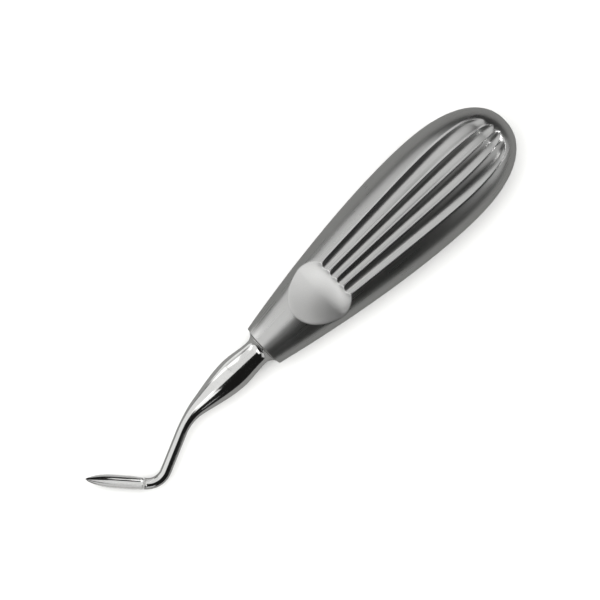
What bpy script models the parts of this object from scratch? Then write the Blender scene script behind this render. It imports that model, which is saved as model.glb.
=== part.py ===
"""Root elevator: a hollow pear-shaped handle with a thumb rest and flutes, and its forged working end.

Sizes are in metres. Both pieces are drawn in the tool's own frame: X runs along the handle, with zero
at its front corner and the butt towards +X, and the thumb rest and flutes face +Z. The tool then lies
down on its belly, with the flutes up, and the origin comes under the middle of its box.
"""

import math

import bmesh
import bpy
from mathutils import Vector

# Handle, its outline from above and its thickness
WIDEST_AT = 0.0594
BUTT_LENGTH = 0.0272
FRONT_RADIUS = 0.00617
HALF_WIDTH = 0.01379
HALF_THICKNESS = 0.0101
TAPER_POWER = 1.62
BUTT_POWER_ALONG = 2.6
BUTT_POWER_ACROSS = 2.2

# Inside of the handle
WALL = 0.0012
SEAT_RADIUS = 0.00485
SEAT_DEPTH = 0.0016
BORE_RADIUS = 0.0031
BORE_END = 0.0215
CAVITY_FLARE = 0.011
CAVITY_DROP = 0.00105

# Fluted field on the upper face: where its outer ridges lie, and how far the face is flattened between them
OUTER_RIDGE_AT_DISH = 0.0057
OUTER_RIDGE_AT_BUTT = 0.0051
INNER_RIDGE_SHARE = 0.4645
RIDGE_WIDTH = 0.0004
FLATNESS_AT_DISH = 0.92
FLATNESS_AT_BUTT = 0.40
FLAT_FADE = 0.004

# Flutes in that field
FLUTE_DEPTH = 0.00082
FLUTE_DEPTH_AT_DISH = 0.0006
FLUTE_DEPTH_AT_BUTT = 0.00045
FLUTE_LEAD = 0.0018
FLUTE_START_RUN = 0.0048
FLUTE_END_TO_BUTT = 0.0028
FLUTE_END = WIDEST_AT + BUTT_LENGTH - FLUTE_END_TO_BUTT
FLUTE_END_ARC = 0.0086
FLUTE_END_RUN = 0.0026

# Thumb rest, hollow along the handle, crowned across it in front and nearly level across at the rear
DISH_FRONT = 0.0118
DISH_REAR = 0.0263
DISH_VALLEY_AT = 0.0203
DISH_VALLEY_HEIGHT = 0.0057
DISH_FRONT_POWER = 1.75
DISH_REAR_POWER = 1.6
DISH_RIM_POWER = 8.0
DISH_RIM_SHARE = 0.28
DISH_CROWN_RADIUS = 0.025
DISH_REAR_DROP = 0.00045
DISH_REAR_HALF_WIDTH = 0.0079
DISH_REAR_DROP_POWER = 6.0

# Rest: how far the tip is pitched down, and the depth of the small flat that the belly lies on
REST_PITCH = math.radians(3.7)
BELLY_FLAT_DEPTH = 0.00015

# Working end, with distances measured forwards from the front corner of the handle
FIT_GAP = 0.0003
TANG_LENGTH = 0.020
TANG_CHAMFER = 0.0006
NECK_RADIUS = 0.00366
NECK_FILLET = 0.00273
BULGE_RADIUS = 0.00434
BULGE_AT = 0.0105
SHANK_RADIUS = 0.00147
SHANK_TAPER_END = 0.0309
FIRST_BEND_AT = 0.0274
FIRST_BEND_ANGLE = math.radians(25.0)
FIRST_BEND_RADIUS = 0.0209
MIDDLE_LEG = 0.0194
SECOND_BEND_ANGLE = math.radians(72.0)
SECOND_BEND_RADIUS = 0.0053
BLADE_LEG = 0.0200

# Blade, a half-round gouge with a rounded point
BLADE_RADIUS = 0.00175
BLADE_WALL = 0.00092
BLADE_SWELL_LEAD = 0.0022
BLADE_SWELL_RUN = 0.0070
SCOOP_RUN = 0.0013
RIM_LAND = 0.00016
NOSE_LENGTH = 0.0073
NOSE_POWER = 0.78
FACE_TILT_AT_HEEL = math.radians(75.0)
FACE_TILT_AT_TIP = math.radians(80.0)

# Fineness of the solids
GROOVE_POINTS = 5
BELLY_POINTS = 25
ROW_STEP = 0.004
FLUTE_START_STEP = 0.0008
FLUTE_END_STEP = 0.0005
BUTT_ROWS = 9
CAVITY_ROWS = 9
LIP_ROWS = 3
SHANK_SIDES = 24
SHANK_STEP = 0.0016
FLANGE_ROWS = 5
BEND_STEP = 0.0009
SCOOP_ROWS = 5
NOSE_ROWS = 8
SHARP_ANGLE = math.radians(32.0)

# The thumb rest's cutter: how far it reaches over, ahead and behind, and its own fineness
CUTTER_OVER = 0.005
CUTTER_LEAD = 0.0015
CUTTER_LAG = 0.0008
CUTTER_STEP = 0.0010
CUTTER_HALF_WIDTH = 0.0115
CUTTER_COLUMNS = 28

# Stainless steel is a grey that is slightly less blue than red
BLUE_SHARE = 0.985


def remove_everything():
    """Empties the scene."""
    for item in list(bpy.data.objects):
        bpy.data.objects.remove(item)


def steel(name, grey, roughness):
    """A stainless steel material of the given grey and roughness."""
    material = bpy.data.materials.new(name)
    material.use_nodes = True
    shader = material.node_tree.nodes["Principled BSDF"]
    shader.inputs["Base Color"].default_value = (grey, grey, grey * BLUE_SHARE, 1.0)
    shader.inputs["Metallic"].default_value = 1.0
    shader.inputs["Roughness"].default_value = roughness
    return material


def ease(value):
    """Rises smoothly from 0 to 1 as value goes from 0 to 1."""
    value = min(max(value, 0.0), 1.0)
    return value * value * (3.0 - 2.0 * value)


def quarter_round(value):
    """Rises from 0 to 1 along a quarter circle, steeply at first."""
    value = min(max(value, 0.0), 1.0)
    return math.sqrt(1.0 - (1.0 - value) ** 2)


def mesh_object(name, mesh, material):
    """Puts a mesh into the scene as a smooth-shaded object with sharp edges kept."""
    mesh.materials.append(material)
    mesh.shade_smooth()
    mesh.set_sharp_from_angle(angle=SHARP_ANGLE)
    item = bpy.data.objects.new(name, mesh)
    bpy.context.collection.objects.link(item)
    return item


def skin_through(name, rings):
    """A closed mesh through rings of points. A ring of one point is a pole, and an open end is capped."""
    bm = bmesh.new()
    rows = [[bm.verts.new(point) for point in ring] for ring in rings]
    for near, far in zip(rows, rows[1:]):
        count = max(len(near), len(far))
        for i in range(count):
            j = (i + 1) % count
            corners = [near[i % len(near)], near[j % len(near)], far[j % len(far)], far[i % len(far)]]
            bm.faces.new(list(dict.fromkeys(corners)))
    for end in (rows[0], rows[-1]):
        if len(end) > 1:
            bm.faces.new(end)
    bmesh.ops.recalc_face_normals(bm, faces=bm.faces[:])
    mesh = bpy.data.meshes.new(name)
    bm.to_mesh(mesh)
    bm.free()
    return mesh


def pear(x, front, widest, butt_length):
    """Half size of the pear at x: a power curve up to the widest section, and a rounded butt behind it."""
    if x <= WIDEST_AT:
        return widest - (widest - front) * ((WIDEST_AT - x) / WIDEST_AT) ** TAPER_POWER
    share = min((x - WIDEST_AT) / butt_length, 1.0)
    return widest * (1.0 - share**BUTT_POWER_ALONG) ** (1.0 / BUTT_POWER_ACROSS)


def half_width(x):
    """Half the handle's width at x."""
    return pear(x, FRONT_RADIUS, HALF_WIDTH, BUTT_LENGTH)


def half_thickness(x):
    """Half the handle's thickness at x."""
    return pear(x, FRONT_RADIUS, HALF_THICKNESS, BUTT_LENGTH)


def field_share(x):
    """Half width of the fluted field at x, as a share of the handle's half width."""
    first = OUTER_RIDGE_AT_DISH / half_width(DISH_REAR)
    last = OUTER_RIDGE_AT_BUTT / half_width(FLUTE_END)
    way = min(max((x - DISH_REAR) / (FLUTE_END - DISH_REAR), 0.0), 1.0)
    return first + (last - first) * way * way


def field_columns():
    """Columns across the fluted field, from +Y to -Y, as (share of its half width, place in a groove).

    The place runs from 1 to -1 across each groove, and it is 1 on the ridges, where the depth is zero.
    """
    ridges = [1.0, INNER_RIDGE_SHARE, 0.0, -INNER_RIDGE_SHARE, -1.0]
    land = RIDGE_WIDTH / 2.0 / (HALF_WIDTH * field_share(WIDEST_AT))
    columns = [(ridges[0] + land, 1.0)]
    for upper, lower in zip(ridges, ridges[1:]):
        middle = (upper + lower) / 2.0
        reach = (upper - lower) / 2.0 - land
        for i in range(GROOVE_POINTS + 2):
            place = 1.0 - 2.0 * i / (GROOVE_POINTS + 1)
            columns.append((middle + reach * place, place))
    columns.append((ridges[-1] - land, 1.0))
    return columns


def flatness(x):
    """How far the fluted field is flattened at x, from 0 for round to 1 for level between its edges."""
    way = min(max((x - DISH_REAR) / (FLUTE_END - DISH_REAR), 0.0), 1.0)
    level = FLATNESS_AT_DISH + (FLATNESS_AT_BUTT - FLATNESS_AT_DISH) * way
    rise = ease((x - DISH_VALLEY_AT) / (DISH_REAR - DISH_VALLEY_AT))
    return level * rise * ease((FLUTE_END - x) / FLAT_FADE)


def field_height(x):
    """Height of the flattened field on its middle line at x."""
    edge_height = math.sqrt(1.0 - field_share(x) ** 2)
    return half_thickness(x) * (1.0 - flatness(x) * (1.0 - edge_height))


def full_depth(x):
    """Depth of a flute's middle at x."""
    rise = ease((x - DISH_REAR) / (WIDEST_AT - DISH_REAR))
    fall = ease((x - WIDEST_AT) / (FLUTE_END - WIDEST_AT))
    depth = FLUTE_DEPTH_AT_DISH + (FLUTE_DEPTH - FLUTE_DEPTH_AT_DISH) * rise
    return depth + (FLUTE_DEPTH_AT_BUTT - FLUTE_DEPTH) * fall


def flute_depth(x, y, place):
    """Depth of a flute at x and y: a parabola across the groove, rounded off at both of its ends."""
    arc = FLUTE_END_ARC - math.sqrt(max(FLUTE_END_ARC**2 - y * y, 0.0))
    from_start = (DISH_REAR - FLUTE_LEAD + FLUTE_START_RUN - x) / FLUTE_START_RUN
    to_end = (x - FLUTE_END + arc + FLUTE_END_RUN) / FLUTE_END_RUN
    way = max(from_start, to_end, 0.0)
    return full_depth(x) * max(1.0 - place * place - way * way, 0.0)


def handle_ring(x, wide, thick, share, fluted=False, drop=0.0):
    """One section of the handle, as a ring of points that starts at the +Y edge of the fluted field.

    The ring is an ellipse, moved down by the drop. The outer ones are flattened and fluted in the field.
    """
    points = []
    columns = field_columns()
    edge = math.asin(share * columns[0][0])
    edge_height = thick * math.cos(edge)
    for column, place in columns:
        y = wide * share * column
        z = thick * math.sqrt(1.0 - (y / wide) ** 2)
        if fluted:
            z += flatness(x) * (edge_height - z) - flute_depth(x, y, place)
        points.append(Vector((x, y, z - drop)))
    for i in range(1, BELLY_POINTS + 1):
        angle = -edge - (2.0 * math.pi - 2.0 * edge) * i / (BELLY_POINTS + 1)
        points.append(Vector((x, wide * math.sin(angle), thick * math.cos(angle) - drop)))
    return points


def spread(start, end, step):
    """Evenly spaced values from start up to end, without end, no further than step apart."""
    count = max(1, math.ceil((end - start) / step))
    return [start + (end - start) * i / count for i in range(count)]


def handle_rows():
    """Where the handle's sections lie, from the front corner back, closest at the flutes' two ends."""
    starts = DISH_REAR - FLUTE_LEAD
    starts_over = starts + FLUTE_START_RUN
    ends_from = FLUTE_END - FLAT_FADE
    rows = spread(0.0, starts, ROW_STEP) + spread(starts, starts_over, FLUTE_START_STEP)
    rows += spread(starts_over, WIDEST_AT, ROW_STEP) + spread(WIDEST_AT, ends_from, ROW_STEP)
    rows += spread(ends_from, FLUTE_END, FLUTE_END_STEP)
    first = math.asin((FLUTE_END - WIDEST_AT) / BUTT_LENGTH)
    turns = spread(first, math.pi / 2.0, (math.pi / 2.0 - first) / BUTT_ROWS)
    return rows + [WIDEST_AT + BUTT_LENGTH * math.sin(turn) for turn in turns]


def fillet_angle(radius):
    """Angle on the neck fillet, from the neck, at which its surface has this radius from the axis."""
    return math.acos((NECK_RADIUS + NECK_FILLET - radius) / NECK_FILLET)


def fillet_point(angle):
    """Distance in front of the handle's corner, and radius, on the neck fillet at this angle."""
    forward = NECK_FILLET * (math.sin(fillet_angle(FRONT_RADIUS)) - math.sin(angle))
    return forward, NECK_RADIUS + NECK_FILLET * (1.0 - math.cos(angle))


def fillet_between(outer_radius, inner_radius, count):
    """Points of the neck fillet from one radius in to a smaller one, as (distance forwards, radius)."""
    first = fillet_angle(outer_radius)
    last = fillet_angle(inner_radius)
    return [fillet_point(first + (last - first) * i / count) for i in range(count + 1)]


def cavity_rows():
    """Rings of the hollow behind the bore, as (x, half width, half thickness, drop below the axis)."""
    rows = []
    length = BUTT_LENGTH - WALL
    end = WIDEST_AT + length
    for i in range(1, CAVITY_ROWS):
        x = BORE_END + (end - BORE_END) * math.sin(math.radians(90.0) * i / CAVITY_ROWS)
        flare = ease((x - BORE_END) / CAVITY_FLARE)
        wide = pear(x, FRONT_RADIUS - WALL, HALF_WIDTH - WALL, length)
        thick = pear(x, FRONT_RADIUS - WALL, HALF_THICKNESS - WALL - CAVITY_DROP, length)
        wide = BORE_RADIUS + (wide - BORE_RADIUS) * flare
        thick = BORE_RADIUS + (thick - BORE_RADIUS) * flare
        rows.append((x, wide, thick, CAVITY_DROP * flare))
    return rows, end


def handle_rings():
    """The whole skin of the hollow handle: from the butt forwards, round the lip, and back inside it."""
    rings = [[Vector((WIDEST_AT + BUTT_LENGTH, 0.0, 0.0))]]
    for x in reversed(handle_rows()):
        rings.append(handle_ring(x, half_width(x), half_thickness(x), field_share(x), fluted=True))
    share = field_share(0.0)
    lip = fillet_between(FRONT_RADIUS, SEAT_RADIUS, LIP_ROWS)[1:]
    inside = [(-forward, radius) for forward, radius in lip]
    inside += [(SEAT_DEPTH, SEAT_RADIUS), (SEAT_DEPTH, BORE_RADIUS), (BORE_END, BORE_RADIUS)]
    for x, radius in inside:
        rings.append(handle_ring(x, radius, radius, share))
    cavity, end = cavity_rows()
    for x, wide, thick, drop in cavity:
        rings.append(handle_ring(x, wide, thick, share, drop=drop))
    rings.append([Vector((end, 0.0, -CAVITY_DROP))])
    return rings


def cut_belly_flat(mesh):
    """Cuts the small flat that the handle lies on, square to the direction that is down at rest."""
    up = Vector((math.sin(REST_PITCH), 0.0, math.cos(REST_PITCH)))
    lowest = min(vertex.co.dot(up) for vertex in mesh.vertices)
    bm = bmesh.new()
    bm.from_mesh(mesh)
    geometry = bm.verts[:] + bm.edges[:] + bm.faces[:]
    level = up * (lowest + BELLY_FLAT_DEPTH)
    cut = bmesh.ops.bisect_plane(bm, geom=geometry, plane_co=level, plane_no=-up, clear_outer=True)
    rim = [item for item in cut["geom_cut"] if isinstance(item, bmesh.types.BMEdge)]
    bmesh.ops.edgeloop_fill(bm, edges=rim)
    bmesh.ops.recalc_face_normals(bm, faces=bm.faces[:])
    bm.to_mesh(mesh)
    bm.free()


def dish_height(x):
    """Height of the thumb rest's floor on its middle line: it rises from the valley to both edges.

    At the rear, a share of the rise has a high power of the way, which steepens the rim.
    """
    if x < DISH_VALLEY_AT:
        share = (DISH_VALLEY_AT - x) / (DISH_VALLEY_AT - DISH_FRONT)
        return DISH_VALLEY_HEIGHT + (field_height(DISH_FRONT) - DISH_VALLEY_HEIGHT) * share**DISH_FRONT_POWER
    share = (x - DISH_VALLEY_AT) / (DISH_REAR - DISH_VALLEY_AT)
    wall = (1.0 - DISH_RIM_SHARE) * share**DISH_REAR_POWER + DISH_RIM_SHARE * share**DISH_RIM_POWER
    return DISH_VALLEY_HEIGHT + (field_height(DISH_REAR) - DISH_VALLEY_HEIGHT) * wall


def dish_floor(x, y):
    """Height of the thumb rest's floor at x and y: its middle line, less a drop to both sides.

    It is a circle's drop in front and in the valley, and eases into the flatter drop of the rear wall.
    """
    circle = DISH_CROWN_RADIUS - math.sqrt(DISH_CROWN_RADIUS**2 - y * y)
    wall = DISH_REAR_DROP * (abs(y) / DISH_REAR_HALF_WIDTH) ** DISH_REAR_DROP_POWER
    to_rear = ease((x - DISH_VALLEY_AT) / (DISH_REAR - DISH_VALLEY_AT))
    return dish_height(x) - circle - (wall - circle) * to_rear


def dish_cutter(material):
    """The thumb rest's cutter: upright slices from +Y to -Y, each with the floor's line below it."""
    top = HALF_THICKNESS + CUTTER_OVER
    ahead = DISH_FRONT - CUTTER_LEAD
    behind = DISH_REAR + CUTTER_LAG
    line = [ahead] + spread(DISH_FRONT, DISH_VALLEY_AT, CUTTER_STEP)
    line += spread(DISH_VALLEY_AT, behind, CUTTER_STEP) + [behind]
    rings = []
    for i in range(CUTTER_COLUMNS + 1):
        y = CUTTER_HALF_WIDTH * (1.0 - 2.0 * i / CUTTER_COLUMNS)
        floor = [Vector((x, y, dish_floor(x, y))) for x in line]
        rings.append(floor + [Vector((behind, y, top)), Vector((ahead, y, top))])
    cutter = mesh_object("thumb_rest_cutter", skin_through("thumb_rest_cutter", rings), material)
    cutter.hide_render = True
    cutter.display_type = "WIRE"
    return cutter


def make_handle(material):
    """The hollow handle, with its flutes, and the thumb rest cut by a Boolean."""
    mesh = skin_through("handle", handle_rings())
    cut_belly_flat(mesh)
    handle = mesh_object("handle", mesh, material)
    cutter = dish_cutter(material)
    dish = handle.modifiers.new("thumb_rest", "BOOLEAN")
    dish.operation = "DIFFERENCE"
    dish.solver = "EXACT"
    dish.object = cutter
    return handle, cutter


def centreline_legs():
    """Legs of the working end's centreline from the tang to the tip, as (length, turn)."""
    first = FIRST_BEND_RADIUS * math.tan(FIRST_BEND_ANGLE / 2.0)
    second = SECOND_BEND_RADIUS * math.tan(SECOND_BEND_ANGLE / 2.0)
    return [
        (TANG_LENGTH + FIRST_BEND_AT - first, 0.0),
        (FIRST_BEND_RADIUS * FIRST_BEND_ANGLE, FIRST_BEND_ANGLE),
        (MIDDLE_LEG - first - second, 0.0),
        (SECOND_BEND_RADIUS * SECOND_BEND_ANGLE, -SECOND_BEND_ANGLE),
        (BLADE_LEG - second, 0.0),
    ]


def place_on_centreline(distance):
    """Point and forward direction at this distance in front of the handle's corner, along the centreline."""
    left = distance + TANG_LENGTH
    x = TANG_LENGTH
    y = 0.0
    heading = math.pi
    for length, turn in centreline_legs():
        step = min(left, length)
        if turn:
            radius = length / turn
            after = heading + step / radius
            x += radius * (math.sin(after) - math.sin(heading))
            y -= radius * (math.cos(after) - math.cos(heading))
            heading = after
        else:
            x += step * math.cos(heading)
            y += step * math.sin(heading)
        left -= step
        if left <= 0.0:
            break
    return Vector((x, y, 0.0)), Vector((math.cos(heading), math.sin(heading), 0.0))


def tip_distance():
    """Length of the centreline from the handle's front corner to the tip."""
    return sum(length for length, turn in centreline_legs()) - TANG_LENGTH


def blade_start():
    """Where the second bend ends and the blade begins, along the centreline."""
    return tip_distance() - centreline_legs()[-1][0]


def shank_radius(distance):
    """Radius of the neck, the bulge and the taper, and of the gouge's back, along the centreline."""
    if distance < BULGE_AT:
        neck_at = fillet_point(0.0)[0]
        return NECK_RADIUS + (BULGE_RADIUS - NECK_RADIUS) * ease((distance - neck_at) / (BULGE_AT - neck_at))
    taper = ease((distance - BULGE_AT) / (SHANK_TAPER_END - BULGE_AT))
    radius = BULGE_RADIUS + (SHANK_RADIUS - BULGE_RADIUS) * taper
    swell = ease((distance - blade_start() + BLADE_SWELL_LEAD) / BLADE_SWELL_RUN)
    radius += (BLADE_RADIUS - SHANK_RADIUS) * swell
    from_tip = tip_distance() - distance
    if from_tip < NOSE_LENGTH:
        radius *= (1.0 - (1.0 - from_tip / NOSE_LENGTH) ** 2) ** NOSE_POWER
    return radius


def section_ring(distance, radius):
    """A section of the working end: a circle, which turns into a half-round gouge along the blade.

    The back half is always a half circle. The face half goes over from the other half circle to a
    parabola that is sunk below the rims, with a narrow land left on each rim.
    """
    centre, forward = place_on_centreline(distance)
    along_blade = (distance - blade_start()) / (tip_distance() - blade_start())
    tilt = FACE_TILT_AT_HEEL + (FACE_TILT_AT_TIP - FACE_TILT_AT_HEEL) * min(max(along_blade, 0.0), 1.0)
    side = Vector((forward.y, -forward.x, 0.0))
    up = Vector((0.0, 0.0, 1.0))
    face = side * math.cos(tilt) + up * math.sin(tilt)
    rim = up * math.cos(tilt) - side * math.sin(tilt)
    hollow = quarter_round((distance - blade_start()) / SCOOP_RUN)
    land = RIM_LAND * radius / BLADE_RADIUS
    depth = radius * (1.0 - BLADE_WALL / BLADE_RADIUS)
    step = 2.0 * math.pi / SHANK_SIDES
    half = SHANK_SIDES // 2
    points = []
    for i in range(half + 1):
        angle = math.pi + step * i
        points.append(centre + (rim * math.cos(angle) + face * math.sin(angle)) * radius)
    for i in range(1, half):
        angle = step * i
        place = math.cos(angle) / math.cos(step)
        across = radius * math.cos(angle) * (1.0 - hollow) + (radius - land) * place * hollow
        outward = radius * math.sin(angle) * (1.0 - hollow) - depth * (1.0 - place * place) * hollow
        points.append(centre + rim * across + face * outward)
    return points


def working_end_rows():
    """Sections of the working end from the tang's end to the nose, as (distance forwards, radius)."""
    tang_radius = BORE_RADIUS - FIT_GAP
    flange_radius = SEAT_RADIUS - FIT_GAP
    flange_back = -(SEAT_DEPTH - FIT_GAP)
    rows = [(-TANG_LENGTH, tang_radius - TANG_CHAMFER), (TANG_CHAMFER - TANG_LENGTH, tang_radius)]
    rows += [(flange_back, tang_radius), (flange_back, flange_radius)]
    rows += fillet_between(flange_radius, NECK_RADIUS, FLANGE_ROWS)
    straight, _, _, second_bend, _ = centreline_legs()
    bend = straight[0] - TANG_LENGTH
    nose = tip_distance() - NOSE_LENGTH
    last_bend = blade_start() - second_bend[0]
    stations = spread(rows[-1][0] + SHANK_STEP, bend, SHANK_STEP) + spread(bend, last_bend, SHANK_STEP)
    stations += spread(last_bend, blade_start(), BEND_STEP)
    stations += spread(blade_start(), blade_start() + SCOOP_RUN, SCOOP_RUN / SCOOP_ROWS)
    stations += spread(blade_start() + SCOOP_RUN, nose, SHANK_STEP)
    turns = [math.sin(math.radians(90.0) * i / NOSE_ROWS) for i in range(NOSE_ROWS)]
    stations += [nose + NOSE_LENGTH * turn for turn in turns]
    return rows + [(station, shank_radius(station)) for station in stations]


def make_working_end(material):
    """The tang, flange, neck, shank and blade, forged in one piece."""
    rings = [section_ring(distance, radius) for distance, radius in working_end_rows()]
    rings.append([place_on_centreline(tip_distance())[0]])
    return mesh_object("blade_shank", skin_through("blade_shank", rings), material)


def lay_on_belly(carrier, pieces):
    """Pitches the carrier to its rest and brings the lowest level and the middle of the box to the origin."""
    carrier.rotation_euler = (0.0, -REST_PITCH, 0.0)
    turn = carrier.rotation_euler.to_matrix()
    points = [turn @ vertex.co for piece in pieces for vertex in piece.data.vertices]
    low = [min(point[i] for point in points) for i in range(3)]
    high = [max(point[i] for point in points) for i in range(3)]
    carrier.location = (-(low[0] + high[0]) / 2.0, -(low[1] + high[1]) / 2.0, -low[2])


def main():
    """Builds both pieces and lays the tool down."""
    remove_everything()
    satin = steel("satin_steel", grey=0.56, roughness=0.32)
    polished = steel("polished_steel", grey=0.66, roughness=0.1)
    carrier = bpy.data.objects.new("root_elevator", None)
    bpy.context.collection.objects.link(carrier)
    handle, cutter = make_handle(satin)
    blade_shank = make_working_end(polished)
    for item in (handle, cutter, blade_shank):
        item.parent = carrier
    lay_on_belly(carrier, (handle, blade_shank))


main()
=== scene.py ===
"""Root elevator: the looks of a hollow-handled surgical instrument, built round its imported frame.

Two pieces stand for the frame's faceted solids: the pear-shaped handle with its thumb rest and four
flutes, and the forged working end with its gouge blade. Each surface is worked out as one numpy grid of
rings. Sizes are metres. Shapes are drawn in the tool's own frame, where X runs along the handle from its
front corner to the butt and +Z is the side of the flutes, and are then laid down on the table.
"""

import logging
import math
from dataclasses import dataclass, field, replace
from enum import Enum
from typing import NamedTuple

import bmesh
import bpy
import numpy as np
from mathutils import Matrix, Vector
from numpy.typing import NDArray


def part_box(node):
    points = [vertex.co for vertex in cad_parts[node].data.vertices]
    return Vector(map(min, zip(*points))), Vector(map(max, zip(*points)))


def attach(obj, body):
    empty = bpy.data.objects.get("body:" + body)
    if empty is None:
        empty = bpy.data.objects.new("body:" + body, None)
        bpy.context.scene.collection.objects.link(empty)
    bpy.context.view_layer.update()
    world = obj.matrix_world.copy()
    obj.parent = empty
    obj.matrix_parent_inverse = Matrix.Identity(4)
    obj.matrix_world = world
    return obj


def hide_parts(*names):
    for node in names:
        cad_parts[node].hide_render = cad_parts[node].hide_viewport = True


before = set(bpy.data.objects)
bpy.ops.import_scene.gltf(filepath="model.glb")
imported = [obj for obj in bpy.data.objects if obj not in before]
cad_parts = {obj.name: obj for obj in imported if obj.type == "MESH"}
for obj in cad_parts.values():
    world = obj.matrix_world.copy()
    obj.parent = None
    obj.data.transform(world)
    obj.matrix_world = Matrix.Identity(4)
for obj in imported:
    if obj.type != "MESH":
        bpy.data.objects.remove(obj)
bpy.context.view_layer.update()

Array = NDArray[np.float64]
Value = Array | float
LOG = logging.getLogger("root_elevator")
BODY = "root"
SURFACE_MAP = "surface"
BLASTED = "blasted"
CREST = "crest"
STEEL_BLUE_SHARE = 0.985


class Slot(Enum):
    """The record's material slots."""

    SATIN = "satin_steel"
    POLISHED = "polished_steel"


class Node(Enum):
    """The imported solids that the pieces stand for."""

    HANDLE = "handle"
    BLADE_SHANK = "blade_shank"


def share_of(value: Value, start: float, end: float) -> Value:
    """How far value is on its way from start to end, from 0 to 1."""
    return np.clip((value - start) / (end - start), 0.0, 1.0)


def ease(value: Value, start: float, end: float) -> Value:
    """Goes smoothly from 0 at start to 1 at end: three times the share's square less twice its cube."""
    share = share_of(value, start, end)
    return share * share * (3.0 - 2.0 * share)


def quarter_round(value: Array, start: float, end: float) -> Array:
    """Goes from 0 at start to 1 at end along a quarter circle, steeply at first."""
    return np.sqrt(1.0 - (1.0 - share_of(value, start, end)) ** 2)


def mix(first: Value, second: Value, share: Value) -> Value:
    """The value that lies this share of the way from first to second."""
    return first + (second - first) * share


def lower_of(first: Array, second: Array, rounding: float) -> Array:
    """The lower of two heights, with the crease between them rounded.

    It is their mean less half the root of their squared difference plus the squared rounding.
    """
    return 0.5 * (first + second) - 0.5 * np.sqrt((first - second) ** 2 + rounding**2)


def spread(start: float, end: float, step: float) -> Array:
    """Evenly spaced values from start up to end, without end, no further than step apart."""
    count = max(1, math.ceil((end - start) / step))
    return start + (end - start) * np.arange(count) / count


@dataclass(frozen=True)
class Skin:
    """A closed surface of rings, with a pole point at each end.

    Attributes:
        rings: Points as rows, columns and coordinates. The columns run round and close on themselves.
        poles: The point before the first ring and the point after the last one.
        along: Distance of each ring along the surface.
        around: Distance of each column round the surface, with one value more than there are columns.
        masks: Named values at each point of the rings.
    """

    rings: Array
    poles: Array
    along: Array
    around: Array
    masks: dict[str, Array] = field(default_factory=dict)

    def face_groups(self) -> list[tuple[Array, Array]]:
        """The four-sided faces, and the fans of triangles at the two poles.

        Returns:
            Three pairs: the corner indices of faces, and the distances along and around at the corners.
        """
        rows, columns = self.rings.shape[:2]
        row, column = np.meshgrid(np.arange(rows - 1), np.arange(columns), indexing="ij")
        down = np.stack([row, row, row + 1, row + 1], axis=-1).reshape(-1, 4)
        across = np.stack([column, column + 1, column + 1, column], axis=-1).reshape(-1, 4)
        places = np.stack([self.along[down], self.around[across]], axis=-1)
        groups = [(down * columns + across % columns, places)]
        turn = np.arange(columns)
        middle = (self.around[turn] + self.around[turn + 1]) / 2.0
        for pole, level, sides in ((0, 0, (turn + 1, turn)), (1, rows - 1, (turn, turn + 1))):
            corners = [np.full(columns, rows * columns + pole)]
            corners += [level * columns + side % columns for side in sides]
            around = np.stack([middle, self.around[sides[0]], self.around[sides[1]]], axis=-1)
            places = np.stack([np.full_like(around, self.along[level]), around], axis=-1)
            groups.append((np.stack(corners, axis=-1), places))
        return groups

    def signed_volume(self, points: Array, groups: list[tuple[Array, Array]]) -> float:
        """Volume that the faces enclose: a sixth of the sum of their triangles' triple products."""
        volume = 0.0
        for corners, _ in groups:
            for second in range(1, corners.shape[1] - 1):
                first, middle, last = (points[corners[:, place]] for place in (0, second, second + 1))
                volume += float(np.einsum("ij,ij->i", first, np.cross(middle, last)).sum()) / 6.0
        return volume

    def mesh(self, name: str) -> bpy.types.Mesh:
        """Builds the mesh, with its faces outwards, its surface map and its masks.

        Args:
            name: The mesh's name.

        Returns:
            A smooth-shaded closed mesh.
        """
        points = np.concatenate([self.rings.reshape(-1, 3), self.poles])
        groups = self.face_groups()
        if self.signed_volume(points, groups) < 0.0:
            groups = [(corners[:, ::-1], places[:, ::-1]) for corners, places in groups]
        made = bpy.data.meshes.new(name)
        made.from_pydata(points, [], [face for corners, _ in groups for face in corners.tolist()])
        surface = made.uv_layers.new(name=SURFACE_MAP)
        places = np.concatenate([group_places.reshape(-1, 2) for _, group_places in groups])
        surface.data.foreach_set("uv", places.astype(np.float32).ravel())
        for mask_name, values in self.masks.items():
            mask = made.attributes.new(mask_name, "FLOAT", "POINT")
            padded = np.concatenate([values.ravel(), [values[0].mean(), values[-1].mean()]])
            mask.data.foreach_set("value", padded.astype(np.float32))
        made.shade_smooth()
        made.update()
        return made


@dataclass(frozen=True)
class Neck:
    """The concave fillet that the handle's front corner and the working end's neck share."""

    front_radius: float = 0.00617
    neck_radius: float = 0.00366
    fillet: float = 0.00273
    seat_radius: float = 0.00485
    seat_depth: float = 0.0016
    bore_radius: float = 0.0031
    bore_end: float = 0.0215
    seam: float = 0.00010

    def angle_at(self, radius: float) -> float:
        """Angle on the fillet, from the neck, at which its surface has this radius from the axis."""
        return math.acos((self.neck_radius + self.fillet - radius) / self.fillet)

    def between(self, outer: float, inner: float, count: int) -> Array:
        """Points of the fillet from one radius in to a smaller one, as rows of forward and radius.

        Forwards is the fillet radius times the difference of the sines of the angles at the front
        corner and here, and the radius is the neck's plus the fillet's times one less the cosine.
        """
        angle = np.linspace(self.angle_at(outer), self.angle_at(inner), count + 1)
        forward = self.fillet * (math.sin(self.angle_at(self.front_radius)) - np.sin(angle))
        return np.stack([forward, self.neck_radius + self.fillet * (1.0 - np.cos(angle))], axis=-1)


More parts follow.
